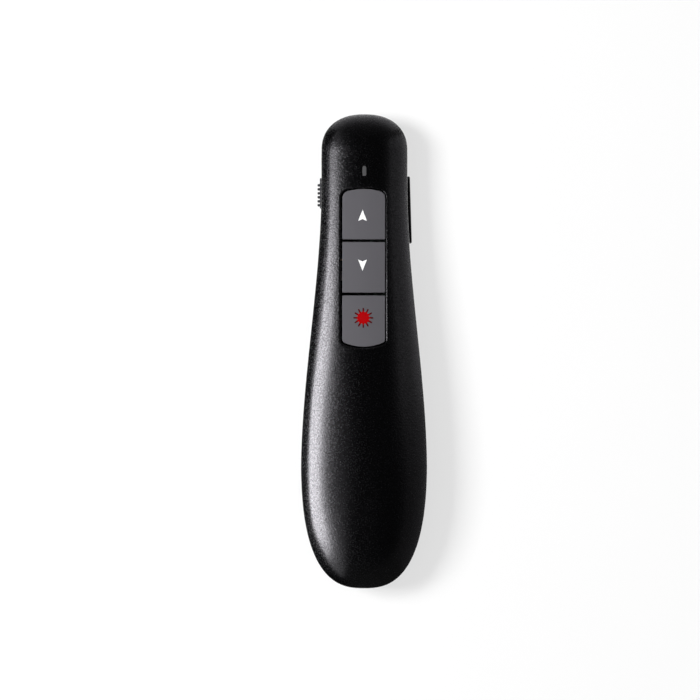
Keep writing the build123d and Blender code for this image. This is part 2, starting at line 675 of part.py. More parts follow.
# ---- Power switch -----------------------------------------------------------------------------
def power_knob():
    """A plate with upright ribs for the thumb, and a stem whose fork takes the switch's lever."""
    half = KNOB_HEIGHT / 2
    front = KNOB_REAR_Y + KNOB_LENGTH
    knob = slab(KNOB_FACE_X, KNOB_BACK_X, KNOB_REAR_Y, front, KNOB_Z - half, KNOB_Z + half)
    knob = fillet(knob.edges().filter_by(Axis.X), 0.5)
    knob = fillet(knob.faces().sort_by(Axis.X)[0].edges(), 0.2)
    rib_height = KNOB_HEIGHT - 2 * RIB_MARGIN
    round_x = RIB_TIP_X + RIB_WIDTH / 2
    root_x = KNOB_FACE_X + WELD
    for number in range(RIB_COUNT):
        y = RIB_FIRST_Y + RIB_PITCH * number
        low, high = KNOB_Z - rib_height / 2, KNOB_Z + rib_height / 2
        knob += slab(round_x, root_x, y - RIB_WIDTH / 2, y + RIB_WIDTH / 2, low, high)
        knob += post(round_x, y, low, high, RIB_WIDTH / 2)
    stem_x = (KNOB_BACK_X - WELD + STEM_END_X) / 2
    stem_depth = STEM_END_X - KNOB_BACK_X + WELD
    low, high = KNOB_Z - STEM_HEIGHT / 2, KNOB_Z + STEM_HEIGHT / 2
    knob += block_at(stem_x, KNOB_MID_Y, stem_depth, STEM_LENGTH, low, high)
    fork_side, fork_depth, fork_x = LEVER_SIDE + 0.1, 2.2, LEVER_TIP_X + 0.85
    low, high = KNOB_Z - fork_side / 2, KNOB_Z + fork_side / 2
    return knob - block_at(fork_x, KNOB_MID_Y, fork_depth, fork_side, low, high)


def power_switch_body():
    """The slide switch's metal can, hung under the board, with a slot for its lever."""
    rear, front = KNOB_MID_Y - CAN_LENGTH / 2, KNOB_MID_Y + CAN_LENGTH / 2
    can = slab(CAN_FACE_X, CAN_BACK_X, rear, front, KNOB_Z - 1.6, BOARD_BOTTOM)
    half, gap = LEVER_SIDE / 2, 0.1
    slot_rear, slot_front = KNOB_MID_Y - half - 2 * gap, KNOB_MID_Y + half + 2 * gap + KNOB_TRAVEL
    low, high = KNOB_Z - half - gap, KNOB_Z + half + gap
    return can - slab(CAN_FACE_X - 1, CAN_BACK_X - 1, slot_rear, slot_front, low, high)


def power_switch_lever():
    half = LEVER_SIDE / 2
    return slab(LEVER_TIP_X, -7.8, KNOB_MID_Y - half, KNOB_MID_Y + half, KNOB_Z - half, KNOB_Z + half)


# ---- Receiver ---------------------------------------------------------------------------------
def receiver_outline():
    """Plan of the receiver's housing, its outer edge along the body's flare."""
    front_x = half_width(RECEIVER_FRONT_Y) + RECEIVER_PROUD
    rear_x = half_width(RECEIVER_REAR_Y) + RECEIVER_PROUD
    corners = [
        (RECEIVER_INNER_X, RECEIVER_REAR_Y),
        (rear_x, RECEIVER_REAR_Y),
        (front_x, RECEIVER_FRONT_Y),
        (RECEIVER_INNER_X, RECEIVER_FRONT_Y),
    ]
    return make_face(Polyline(*corners, close=True))


def across_receiver(x0, x1, half, z0, z1):
    """A box by its ends along X and its half width, on the receiver's middle."""
    return slab(x0, x1, RECEIVER_MID_Y - half, RECEIVER_MID_Y + half, z0, z1)


def receiver_housing():
    block = extrude(Pos(0, 0, RECEIVER_BOTTOM) * receiver_outline(), amount=RECEIVER_TOP - RECEIVER_BOTTOM)
    block = fillet(block.edges().filter_by(Axis.X), 0.8)
    outer = block.faces().sort_by(Axis.X)[-1]
    block = fillet(outer.edges(), 0.35)
    return block - across_receiver(0, RECEIVER_SEAT_X, PLUG_WIDTH / 2, PLUG_LOW, PLUG_HIGH)


def usb_plug_shell():
    """A folded sheet tube with two latch windows through its broad sides."""
    tube = across_receiver(PLUG_TIP_X, RECEIVER_SEAT_X, PLUG_WIDTH / 2, PLUG_LOW, PLUG_HIGH)
    tube = fillet(tube.edges().filter_by(Axis.X), 0.4)
    inner = PLUG_WIDTH / 2 - PLUG_SHEET
    tube -= across_receiver(-FAR, FAR, inner, PLUG_LOW + PLUG_SHEET, PLUG_HIGH - PLUG_SHEET)
    window_x, window_y, window_length, window_width = PLUG_TIP_X + 4.3, 2.6, 2.2, 2.4
    for side in (-1, 1):
        y = RECEIVER_MID_Y + side * window_y
        tube -= block_at(window_x, y, window_length, window_width, -1, ABOVE)
    return tube


def usb_tongue():
    """The insulator that fills one half of the plug."""
    half = PLUG_WIDTH / 2 - PLUG_SHEET - 0.03
    return across_receiver(PLUG_TIP_X + 0.3, RECEIVER_INNER_X + 1.5, half, TONGUE_BOTTOM, TONGUE_TOP)


def usb_contacts():
    """Four pads on the tongue, the outer two longer."""
    front = PLUG_TIP_X + 9.0
    pads = []
    for place, length in CONTACT_PADS:
        x, y = front - length / 2, RECEIVER_MID_Y + place
        pads.append(block_at(x, y, length, PAD_WIDTH, TONGUE_TOP, TONGUE_TOP + PAD_HEIGHT))
    return Compound(pads)


def receiver_board():
    half = PLUG_WIDTH / 2 - PLUG_SHEET - 0.1
    bottom, thickness = TONGUE_TOP + 0.18, 0.8
    return across_receiver(RECEIVER_INNER_X - 2.5, RECEIVER_INNER_X + 2.9, half, bottom, bottom + thickness)


# ---- Batteries and contacts -------------------------------------------------------------------
def battery(x, towards_nose):
    """A cell with its positive nub at one end and a rolled edge at both."""
    body_length = CELL_LENGTH - NUB_LENGTH
    cell = Cylinder(CELL_RADIUS, body_length)
    cell = fillet(cell.edges().filter_by(GeomType.CIRCLE), CELL_EDGE)
    cell += Pos(0, 0, (body_length + NUB_LENGTH) / 2) * Cylinder(NUB_RADIUS, NUB_LENGTH)
    inset = CONTACT_SHEET + NUB_LENGTH + body_length / 2
    if towards_nose:
        return Pos(x, BAY_FRONT_Y - inset, CELL_Z) * Rot(-90, 0, 0) * cell
    return Pos(x, BAY_REAR_Y + inset, CELL_Z) * Rot(90, 0, 0) * cell


def contact_plate(x, y, width):
    """A flat bay contact, upright across the bay."""
    low, high = CELL_Z - CONTACT_REACH, CELL_Z + CONTACT_REACH
    plate = block_at(x, y - CONTACT_SHEET / 2, width, CONTACT_SHEET, low, high)
    return fillet(plate.edges().filter_by(Axis.Y), CONTACT_CORNER)


def front_contact(x):
    """A plate with a solder tab that passes forward onto the board."""
    rear, front = BAY_FRONT_Y - CONTACT_SHEET / 2, BOARD_REAR_Y + TAB_REACH
    half = TAB_WIDTH / 2
    tab = slab(x - half, x + half, rear, front, BOARD_TOP, BOARD_TOP + CONTACT_SHEET)
    return contact_plate(x, BAY_FRONT_Y, CONTACT_WIDTH) + tab


def bridge_contact():
    return contact_plate(0, BAY_REAR_Y + CONTACT_SHEET, 2 * CELL_X + CONTACT_WIDTH)


def battery_spring(x, plate_y, direction):
    """A tapering coil from its contact plate to the cell's flat end."""
    span = BAY_FRONT_Y - BAY_REAR_Y - 2 * CONTACT_SHEET - CELL_LENGTH
    height = span - 2 * SPRING_WIRE
    coil = Helix(pitch=height / SPRING_TURNS, height=height, radius=SPRING_RADIUS, cone_angle=SPRING_CONE)
    section = Plane(origin=coil @ 0, z_dir=coil % 0) * Circle(SPRING_WIRE)
    spring = sweep(section, path=coil)
    turn = Rot(-90 * direction, 0, 0)
    return Pos(x, plate_y + direction * SPRING_WIRE, CELL_Z) * turn * spring


# ---- Screws -----------------------------------------------------------------------------------
def housing_screws():
    """Four equal pan-head screws with cross recesses, driven up from below."""
    screws = []
    foot = SCREW_SEAT_Z - SCREW_HEAD_HEIGHT
    for x, y in SCREW_PLACES:
        head = post(x, y, foot, SCREW_SEAT_Z, SCREW_HEAD_RADIUS)
        head -= block_at(x, y, 2 * CROSS_REACH, CROSS_WIDTH, 0, foot + CROSS_DEPTH)
        head -= block_at(x, y, CROSS_WIDTH, 2 * CROSS_REACH, 0, foot + CROSS_DEPTH)
        screws.append(head + post(x, y, SCREW_SEAT_Z, SCREW_SEAT_Z + SCREW_LENGTH, SCREW_RADIUS))
    return Compound(screws)


# ---- Every sub-part by its node's name --------------------------------------------------------
def pieces():
    made = {
        "upper_shell": upper_shell(),
        "lower_shell": lower_shell(),
        "battery_door": battery_door(),
        "housing_screws": housing_screws(),
        "main_board": main_board(),
        "radio_chip": radio_chip(),
        "crystal": crystal(),
        "small_components": small_components(),
        "status_led": status_led(),
        "light_pipe": light_pipe(),
        "laser_barrel": laser_barrel(),
        "laser_lens": laser_lens(),
        "laser_diode": laser_diode(),
        "laser_board": laser_board(),
        "laser_window": laser_window(),
        "power_knob": power_knob(),
        "power_switch_body": power_switch_body(),
        "power_switch_lever": power_switch_lever(),
        "receiver_housing": receiver_housing(),
        "receiver_board": receiver_board(),
        "usb_plug_shell": usb_plug_shell(),
        "usb_tongue": usb_tongue(),
        "usb_contacts": usb_contacts(),
        "battery_left": battery(-CELL_X, True),
        "battery_right": battery(CELL_X, False),
        "positive_contact": front_contact(-CELL_X),
        "negative_contact": front_contact(CELL_X),
        "bridge_contact": bridge_contact(),
        "front_spring": battery_spring(CELL_X, BAY_FRONT_Y - CONTACT_SHEET, -1),
        "rear_spring": battery_spring(-CELL_X, BAY_REAR_Y + CONTACT_SHEET, 1),
    }
    for key, rear in KEY_REARS.items():
        middle = rear + KEY_LENGTH / 2
        made[key + "_key"] = key_cap(rear)
        made[key + "_switch"] = switch_base(middle)
        made[key + "_switch_cover"] = switch_cover(middle)
        made[key + "_switch_plunger"] = switch_plunger(middle)
    return made


os.makedirs("parts", exist_ok=True)
for name, piece in pieces().items():
    export_step(piece, f"parts/{name}.step")
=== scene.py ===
"""Looks of a wireless presentation clicker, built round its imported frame.

Shapes are worked out in millimetres and put into the meshes in metres. +Y points to the nose, +Z up
out of the keys, -X to the power switch and +X to the stored receiver.
"""

import json
import math

import bpy
import numpy as np
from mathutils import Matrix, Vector


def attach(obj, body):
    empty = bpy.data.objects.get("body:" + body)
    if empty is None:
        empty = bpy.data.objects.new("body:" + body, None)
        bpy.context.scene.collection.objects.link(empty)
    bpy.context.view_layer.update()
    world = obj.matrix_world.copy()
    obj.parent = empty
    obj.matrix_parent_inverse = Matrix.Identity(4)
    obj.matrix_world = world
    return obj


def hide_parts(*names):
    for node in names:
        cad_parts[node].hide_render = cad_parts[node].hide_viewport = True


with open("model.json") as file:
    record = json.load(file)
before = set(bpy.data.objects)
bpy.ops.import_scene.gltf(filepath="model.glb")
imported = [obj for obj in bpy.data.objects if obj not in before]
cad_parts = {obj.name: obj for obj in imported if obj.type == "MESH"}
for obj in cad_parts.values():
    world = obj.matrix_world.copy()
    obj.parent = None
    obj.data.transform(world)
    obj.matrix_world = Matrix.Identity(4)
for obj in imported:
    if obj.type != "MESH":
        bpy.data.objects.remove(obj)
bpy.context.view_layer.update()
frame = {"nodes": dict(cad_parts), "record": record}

MM = 0.001

# ---- The body's form, with the values of the part's own source ---------------------------------
END_Y = 65.0
PALM_HALF_WIDTH, NECK_HALF_WIDTH = 17.3, 11.8
PALM_Y, NECK_Y = -34.0, 45.3
NOSE_LENGTH, NOSE_POWER = 10.0, 2.27
TAIL_LENGTH, TAIL_POWER = 37.0, 2.64
PALM_TOP, NOSE_TOP, NOSE_TOP_Y = 22.5, 16.2, 60.0
PARTING_Z = 8.4
REVEAL_HEIGHT = 0.35
WALL_DRAFT = 0.3
CROWN_DROP = 0.72
CROWN_POWERS = {2: 0.42, 6: 0.325, 10: 0.1}
SHOULDER_RADIUS = 1.2
WALL = 1.6
TOP_WALL = 2.0
KEY_SINK = 0.55

# ---- Lip, keys, opening and light slot: this script's own values -------------------------------
# The keys, the opening and the slot differ from the solids' by less than a millimetre, in size and place.
LIP_STEP = 0.75
LIP_ROOM = 1.0
EDGE_RADIUS = 0.12
KEY_MIDDLE_X = -0.16
KEY_HALF_WIDTH = 5.86
KEY_ENDS = {"page_up": (30.36, 44.19), "page_down": (15.83, 29.7), "laser": (1.1, 15.11)}
KEYS_REAR_Y, KEYS_FRONT_Y = KEY_ENDS["laser"][0], KEY_ENDS["page_up"][1]
FRONT_END = (1.08, 2.0)  # the arch's height and the corner's radius, as in the next two
REAR_END = (1.4, 1.1)
SQUARE_END = (0.02, 0.3)
KEY_EDGE = 0.22
KEY_DEPTH = 2.6
KEY_CROWN = 0.4
KEY_WINDOW_GAP = 0.36
WINDOW_MIDDLE_X = -0.27
WINDOW_EDGE = 0.45
LED_Y = 49.05
LED_LENGTH = 2.85
LED_WIDTH = 1.1


def ease(share):
    """0 at 0, 1 at 1, level at both ends: three squares less two cubes."""
    share = np.clip(share, 0, 1)
    return share * share * (3 - 2 * share)


def open_half_width(y):
    """Half width before the ends close: eases from the palm's to the neck's."""
    return PALM_HALF_WIDTH + (NECK_HALF_WIDTH - PALM_HALF_WIDTH) * ease((y - PALM_Y) / (NECK_Y - PALM_Y))


def end_share(y):
    """How far y is into an end's superellipse, 0 to 1, and that end's power."""
    nose = (y - (END_Y - NOSE_LENGTH)) / NOSE_LENGTH
    tail = (-y - (END_Y - TAIL_LENGTH)) / TAIL_LENGTH
    return np.clip(np.maximum(nose, tail), 0, 1), np.where(nose > tail, NOSE_POWER, TAIL_POWER)


def half_width(y):
    """Half width of the outline: the open width times (1 - share^power)^(1/power)."""
    share, power = end_share(y)
    return open_half_width(y) * (1 - share**power) ** (1 / power)


def top_line(y):
    """Height of the crown along the middle: eases from the palm's to the nose's."""
    return PALM_TOP + (NOSE_TOP - PALM_TOP) * ease((y - PALM_Y) / (NOSE_TOP_Y - PALM_Y))


def crown(x, y):
    """Height of the top shell: the top line less the half width times a sum of powers of the radius,
    which is 0 along the middle and 1 on the outline."""
    width = open_half_width(y)
    share, power = end_share(y)
    radius = (np.abs(x / width) ** power + share**power) ** (1 / power)
    fall = sum(weight * radius**grade for grade, weight in CROWN_POWERS.items())
    return top_line(y) - CROWN_DROP * width * fall


def key_top(x, y):
    """Height of the keys' faces: the top line less a sink and a parabola across."""
    return top_line(y) - KEY_SINK - KEY_CROWN * ((x - KEY_MIDDLE_X) / KEY_HALF_WIDTH) ** 2


def wall_x(y, z):
    """Half width of the lower shell's drafted wall at a height."""
    return half_width(y) - WALL_DRAFT * (1 - z / (PARTING_Z - REVEAL_HEIGHT))


# ---- Shader maths ------------------------------------------------------------------------------
class Signal:
    """A shader socket. Arithmetic on it adds Math nodes, and numbers may stand on either side."""

    def __init__(self, finish, socket):
        self.finish = finish
        self.socket = socket

    def maths(self, operation, *values):
        return self.finish.add("ShaderNodeMath", {"operation": operation}, dict(enumerate(values)))

    def __add__(self, other):
        return self.maths("ADD", self, other)

    def __sub__(self, other):
        return self.maths("SUBTRACT", self, other)

    def __rsub__(self, other):
        return self.maths("SUBTRACT", other, self)

    def __mul__(self, other):
        return self.maths("MULTIPLY", self, other)

    def __truediv__(self, other):
        return self.maths("DIVIDE", self, other)

    __radd__ = __add__
    __rmul__ = __mul__

    def folded(self):
        """Runs from 0 up to 1 and back again, with a turn at every whole number."""
        return self.maths("PINGPONG", self, 1.0)

    def between(self, low, high):
        """0 up to low, 1 from high, smooth in between."""
        inputs = {"Value": self, "From Min": low, "From Max": high}
        return self.finish.add("ShaderNodeMapRange", {"interpolation_type": "SMOOTHSTEP"}, inputs)

    def soft_top(self, top, reach):
        """1 up to a top, and above it e to the minus distance over reach."""
        below = (top - self) / reach
        drop = self.maths("MINIMUM", below, 0.0)
        return self.maths("EXPONENT", drop)


class Finish:
    """A material, or a world, while it is made. Constants go on the shader's sockets by name."""

    def __init__(self, name, shader="ShaderNodeBsdfPrincipled", kind="Material", **constants):
        library = bpy.data.worlds if kind == "World" else bpy.data.materials
        self.material = library.new(name)
        self.material.use_nodes = True
        self.tree = self.material.node_tree
        self.tree.nodes.clear()
        self.shader = self.tree.nodes.new(shader)
        output = self.tree.nodes.new("ShaderNodeOutput" + kind)
        self.tree.links.new(self.shader.outputs[0], output.inputs["Surface"])
        for socket, value in constants.items():
            self.set(socket.replace("_", " "), value)

    def set(self, socket, value):
        """Puts a value or a link on one of the shader's sockets."""
        self.feed(self.shader.inputs[socket], value)

    def feed(self, socket, value):
        """Links a Signal to a socket, or sets the socket's own value."""
        if isinstance(value, Signal):
            self.tree.links.new(value.socket, socket)
        elif hasattr(value, "__len__") and len(value) == 3 and socket.type == "RGBA":
            socket.default_value = (*value, 1.0)
        else:
            socket.default_value = value

    def add(self, kind, settings, inputs, output=0):
        """Adds a node: its settings first, then the values or links of its sockets."""
        node = self.tree.nodes.new(kind)
        for name, value in settings.items():
            setattr(node, name, value)
        for name, value in inputs.items():
            self.feed(node.inputs[name], value)
        return Signal(self, node.outputs[output])

    def place(self):
        """Object coordinates, in metres."""
        return self.add("ShaderNodeTexCoord", {}, {}, "Object")

    def along(self, axis):
        """One object coordinate, in millimetres."""
        return self.add("ShaderNodeSeparateXYZ", {}, {"Vector": self.place()}, axis) / MM

    def away_from(self, point):
        """Distance from a point, both in millimetres."""
        inputs = {0: self.place(), 1: Vector(point) * MM}
        return self.add("ShaderNodeVectorMath", {"operation": "DISTANCE"}, inputs, "Value") / MM

    def noise(self, grain, detail=2.0, rough=0.5, squeeze=(1.0, 1.0, 1.0)):
        """Noise whose grain is a size in millimetres. squeeze stretches it along an axis where it is
        under 1."""
        where = self.add("ShaderNodeMapping", {}, {"Vector": self.place(), "Scale": squeeze})
        inputs = {"Vector": where, "Scale": 1 / (grain * MM), "Detail": detail, "Roughness": rough}
        return self.add("ShaderNodeTexNoise", {}, inputs, "Fac")

    def cell_edges(self, size):
        """Distance to the nearest edge of Voronoi cells of a size in millimetres, in cells."""
        inputs = {"Vector": self.place(), "Scale": 1 / (size * MM)}
        return self.add("ShaderNodeTexVoronoi", {"feature": "DISTANCE_TO_EDGE"}, inputs, "Distance")

    def blend(self, share, first, second):
        """Colour that goes from the first to the second with a share of 0 to 1. A Mix node's colour
        sockets share their names with its other kinds, so they go by number."""
        return self.add("ShaderNodeMix", {"data_type": "RGBA"}, {0: share, 6: first, 7: second}, 2)

    def relief(self, height, depth):
        """Bump whose height of 1 stands for a depth in millimetres."""
        return self.add("ShaderNodeBump", {}, {"Height": height, "Distance": depth * MM, "Strength": 1.0})


def scaled(colour, factor):
    """A colour made lighter or darker."""
    return tuple(value * factor for value in colour)


def moulded(name, colour, rough, grain, depth, lift=0.25, **constants):
    """Moulded plastic: a spark-eroded grain as relief, with gloss and colour that vary a little."""
    finish = Finish(name, **constants)
    cloud = finish.noise(6.0, detail=3.0)
    pits = finish.noise(grain, detail=3.0, rough=0.6)
    finish.set("Base Color", finish.blend(cloud, colour, scaled(colour, 1 + lift)))
    finish.set("Roughness", rough + (cloud - 0.5) * 0.08 + (pits - 0.5) * 0.1)
    finish.set("Normal", finish.relief(pits, depth))
    return finish.material


def shell_black():
    """Glossy black with a fine grain, under a clear skin of uneven strength. The grain's relief fades
    to a fifth down towards the rim, and the gloss varies with the grain all over."""
    finish = Finish("shell_black", IOR=1.5, Specular_IOR_Level=0.25, Coat_Roughness=0.18)
    grain = finish.noise(0.42, detail=1.0, rough=0.6)
    sparkle = finish.noise(0.46, detail=1.0, rough=0.6, squeeze=(1.0, 1.0, 1.1))
    cloud = finish.noise(9.0)
    crown_z = PALM_TOP - finish.along("Y").between(PALM_Y, NOSE_TOP_Y) * (PALM_TOP - NOSE_TOP)
    near_rim = (crown_z - finish.along("Z")).between(4.5, 8.0)
    finish.set("Base Color", finish.blend(grain, (0.0009, 0.0009, 0.001), (0.0016, 0.0016, 0.0018)))
    finish.set("Roughness", 0.1 + (cloud - 0.5) * 0.06 + grain.between(0.25, 0.75) * 0.22)
    finish.set("Coat Weight", sparkle.between(0.28, 0.72) * 0.5 + 0.25)
    finish.set("Normal", finish.relief(grain * (1 - near_rim * 0.8), depth=0.14))
    return finish.material


def metal(name, colour, rough, grain=(1.0, 1.0, 1.0)):
    """Sheet or turned metal with fine drawn lines along its grain, and faint dark stains."""
    finish = Finish(name, Metallic=0.8)
    lines = finish.noise(0.3, detail=3.0, rough=0.6, squeeze=grain)
    stain = finish.noise(3.0)
    finish.set("Base Color", finish.blend(stain, scaled(colour, 0.8), colour))
    finish.set("Roughness", rough + (lines - 0.5) * 0.175)
    finish.set("Normal", finish.relief(lines, depth=0.003))
    return finish.material


def clear_plastic(name, colour, rough, transmission):
    """Tinted clear plastic with faint flow marks."""
    finish = Finish(name, IOR=1.49, Transmission_Weight=transmission)
    flow = finish.noise(1.2)
    finish.set("Base Color", finish.blend(flow, colour, scaled(colour, 1.25)))
    finish.set("Roughness", rough + flow * 0.05)
    finish.set("Normal", finish.relief(flow, depth=0.004))
    return finish.material


def board_black():
    """Black solder mask over copper runs, which show as slightly raised paler lines."""
    finish = Finish("board_black", IOR=1.5)
    copper = 1 - finish.cell_edges(2.2).between(0.05, 0.09)
    weave = finish.noise(0.35, detail=1.0)
    finish.set("Base Color", finish.blend(copper, (0.006, 0.007, 0.0065), (0.02, 0.024, 0.021)))
    finish.set("Roughness", 0.3 + weave * 0.15)
    finish.set("Normal", finish.relief(copper * 0.8 + weave * 0.2, depth=0.03))
    return finish.material


def cell_jacket():
    """A shrunk foil jacket, dark blue with a narrow paler ring round it every 6 mm."""
    finish = Finish("cell_jacket", IOR=1.5)
    rings = (finish.along("Y") / 3.0).folded().between(0.93, 0.95)
    crinkle = finish.noise(1.5, detail=3.0)
    finish.set("Base Color", finish.blend(rings, (0.012, 0.03, 0.085), (0.02, 0.05, 0.13)))
    finish.set("Roughness", 0.25 + crinkle * 0.15)
    finish.set("Normal", finish.relief(crinkle, depth=0.02))
    return finish.material


def ink(name, colour):
    """Pad-printed ink, a little uneven."""
    finish = Finish(name, IOR=1.45, Specular_IOR_Level=0.2)
    film = finish.noise(0.4)
    finish.set("Base Color", finish.blend(film, colour, scaled(colour, 0.9)))
    finish.set("Roughness", 0.45 + film * 0.1)
    finish.set("Normal", finish.relief(film, depth=0.004))
    return finish.material


FINISHES = {
    "shell_gloss_black": shell_black(),
    "tub_charcoal": moulded(
        "tub_charcoal", (0.012, 0.012, 0.013), rough=0.5, grain=0.35, depth=0.03, Specular_IOR_Level=0.3
    ),
    "key_grey": moulded(
        "key_grey",
        (0.0785, 0.0762, 0.0835),
        rough=0.52,
        grain=0.25,
        depth=0.008,
        lift=0.06,
        Specular_IOR_Level=0.05,
    ),
    "knob_black": moulded("knob_black", (0.006, 0.006, 0.007), rough=0.5, grain=0.3, depth=0.012),
    "receiver_black": moulded("receiver_black", (0.006, 0.006, 0.0065), rough=0.38, grain=0.3, depth=0.01),
    "window_red": clear_plastic("window_red", (0.22, 0.004, 0.004), rough=0.06, transmission=0.55),
    "light_pipe_grey": clear_plastic("light_pipe_grey", (0.06, 0.06, 0.062), rough=0.22, transmission=0.15),
    "lens_clear": clear_plastic("lens_clear", (0.85, 0.88, 0.9), rough=0.04, transmission=0.95),
    "board_black": board_black(),
    "chip_black": moulded("chip_black", (0.018, 0.018, 0.018), rough=0.55, grain=0.15, depth=0.01),
    "component_tan": moulded("component_tan", (0.42, 0.33, 0.24), rough=0.5, grain=0.2, depth=0.01),
    "led_white": moulded("led_white", (0.72, 0.72, 0.64), rough=0.4, grain=0.2, depth=0.005),
    "switch_black": moulded("switch_black", (0.018, 0.018, 0.02), rough=0.5, grain=0.2, depth=0.01),
    "steel_bright": metal("steel_bright", (0.62, 0.62, 0.62), rough=0.28, grain=(1.0, 0.1, 1.0)),
    "nickel_plated": metal("nickel_plated", (0.7, 0.69, 0.66), rough=0.2, grain=(0.1, 1.0, 1.0)),
    "brass_barrel": metal("brass_barrel", (0.6, 0.43, 0.18), rough=0.24, grain=(1.0, 3.0, 1.0)),
    "gold_contact": metal("gold_contact", (0.8, 0.6, 0.25), rough=0.2),
    "cell_jacket": cell_jacket(),
    "tongue_white": moulded("tongue_white", (0.72, 0.72, 0.7), rough=0.42, grain=0.25, depth=0.006),
    "screw_black": metal("screw_black", (0.05, 0.05, 0.05), rough=0.42),
}
WHITE_INK = ink("white_ink", (0.78, 0.78, 0.78))
GREY_INK = ink("grey_ink", (0.45, 0.45, 0.46))

for row in frame["record"]["subparts"]:
    node = frame["nodes"][row["node"]]
    node.data.materials.clear()
    node.data.materials.append(FINISHES[row["material_slot"]])


# ---- Making meshes -----------------------------------------------------------------------------
SHARP_ANGLE = 38.0


def put_in_scene(name, data):
    """A mesh, curve, light or camera as an object of the scene."""
    thing = bpy.data.objects.new(name, data)
    bpy.context.scene.collection.objects.link(thing)
    return thing


def hide_from(thing, *rays):
    """Makes an object invisible to kinds of rays."""
    for ray in rays:
        setattr(thing, "visible_" + ray, False)


def signed_volume(points, triangles):
    """Positive where the triangles face outwards: a sixth of the sum of triple products."""
    first, second, third = (points[triangles[:, corner]] for corner in range(3))
    return np.einsum("ij,ij->i", first, np.cross(second, third)).sum() / 6


def closed_skin(name, rows, finish, ring=False):
    """A closed surface from rows of points in millimetres, each row running once round. With ring, the
    rows close on themselves as on a torus. Without it, the first and last row each close on a pole."""
    count, around = rows.shape[:2]
    index = np.arange(count * around).reshape(count, around)
    points = rows.reshape(-1, 3)
    upper = index if ring else index[:-1]
    lower = np.roll(index, -1, 0) if ring else index[1:]
    after_upper, after_lower = np.roll(upper, -1, 1), np.roll(lower, -1, 1)
    quads = np.stack([upper, after_upper, after_lower, lower], -1).reshape(-1, 4)
    caps = np.zeros((0, 3), int)
    if not ring:
        poles = np.stack([rows[0].mean(0), rows[-1].mean(0)])
        points = np.concatenate([points, poles])
        first_pole, last_pole = np.full(around, len(points) - 2), np.full(around, len(points) - 1)
        first_cap = np.stack([after_upper[0], upper[0], first_pole], -1)
        last_cap = np.stack([lower[-1], after_lower[-1], last_pole], -1)
        caps = np.concatenate([first_cap, last_cap])
    triangles = np.concatenate([quads[:, :3], quads[:, [0, 2, 3]], caps])
    if signed_volume(points, triangles) < 0:
        quads, caps = quads[:, ::-1], caps[:, ::-1]
    mesh = bpy.data.meshes.new(name)
    mesh.from_pydata((points * MM).tolist(), [], quads.tolist() + caps.tolist())
    mesh.polygons.foreach_set("use_smooth", np.ones(len(mesh.polygons), bool))
    mesh.set_sharp_from_angle(angle=math.radians(SHARP_ANGLE))
    mesh.materials.append(finish)
    return put_in_scene(name, mesh)


def quarter_turn(count):
    """Angles of a quarter turn at even steps, both ends among them."""
    return np.linspace(0, math.pi / 2, count)


def full_turn(count):
    """Angles of a full turn at even steps."""
    return np.linspace(0, 2 * math.pi, count + 1)[:-1]


def run_along(path):
    """Length of a polyline up to each of its points."""
    steps = np.linalg.norm(np.diff(path, axis=0), axis=1)
    return np.concatenate([[0], np.cumsum(steps)])


def resample(path, places):
    """Points of a polyline at given shares of its length."""
    run = run_along(path)
    share = run / run[-1]
    return np.stack([np.interp(places, share, path[:, axis]) for axis in range(path.shape[1])], -1)


def resample_round(outline, count):
    """A closed outline as a number of points at even steps of its length."""
    closed = np.concatenate([outline, outline[:1]])
    return resample(closed, np.linspace(0, 1, count + 1)[:-1])


def mirrored(right, middle=0.0):
    """A closed outline from its right side, which runs from the middle of the front to that of the
    rear, moved sideways by middle."""
    left = right[-2:0:-1] * (-1, 1)
    return np.concatenate([right, left]) + (middle, 0)


def outward(outline):
    """Unit normals of a closed outline that runs clockwise from the front: the line from the point
    before to the point after, turned by a quarter."""
    along = np.roll(outline, -1, 0) - np.roll(outline, 1, 0)
    along /= np.linalg.norm(along, axis=1, keepdims=True)
    return np.stack([-along[:, 1], along[:, 0]], -1)


def raised(plan, height):
    """Plan points with a height each."""
    return np.concatenate([plan, np.broadcast_to(height, plan.shape[:-1])[..., None]], -1)


def laid(plan, surface, lift=0.0):
    """Plan points laid on a height field and lifted off it."""
    return raised(plan, surface(plan[:, 0], plan[:, 1]) + lift)


def body_side(samples):
    """Right side of the outline: superellipse angles at both ends, even steps between them."""
    turn = quarter_turn(samples)
    nose = END_Y - NOSE_LENGTH + NOSE_LENGTH * np.cos(turn) ** (2 / NOSE_POWER)
    tail = TAIL_LENGTH - END_Y - TAIL_LENGTH * np.sin(turn) ** (2 / TAIL_POWER)
    y = np.concatenate([nose[:-1], np.linspace(nose[-1], tail[0], samples)[:-1], tail])
    return np.stack([half_width(y), y], -1)


def end_of_key(half, arch, corner, samples):
    """From the middle of an arched end to its side, with the end at y = 0: an arc through the arch's
    height, then the corner's arc."""
    radius = (half**2 + arch**2) / (2 * arch)
    corner_x = half - corner
    reach = math.sqrt((radius - corner) ** 2 - corner_x**2)
    meet = math.asin(corner_x / (radius - corner))
    across = np.linspace(0, meet, samples)
    round_off = np.linspace(meet, math.pi / 2, samples)
    arc = np.stack([np.sin(across), np.cos(across)], -1) * radius - (0, radius)
    bend = np.stack([np.sin(round_off), np.cos(round_off)], -1) * corner + (corner_x, reach - radius)
    return np.concatenate([arc, bend[1:]])


def column_side(front_y, rear_y, front_end, rear_end, samples, grow=0.0):
    """Right side of a key, or of the opening round all of them: an end is its arch's height and its
    corner's radius, and grow sets the whole outline out."""
    ends = []
    for arch, corner in (front_end, rear_end):
        ends.append(end_of_key(KEY_HALF_WIDTH + grow, arch, corner + grow, samples))
    front = ends[0] + (0, front_y + grow)
    rear = ends[1][::-1] * (1, -1) + (0, rear_y - grow)
    return np.concatenate([front, rear])


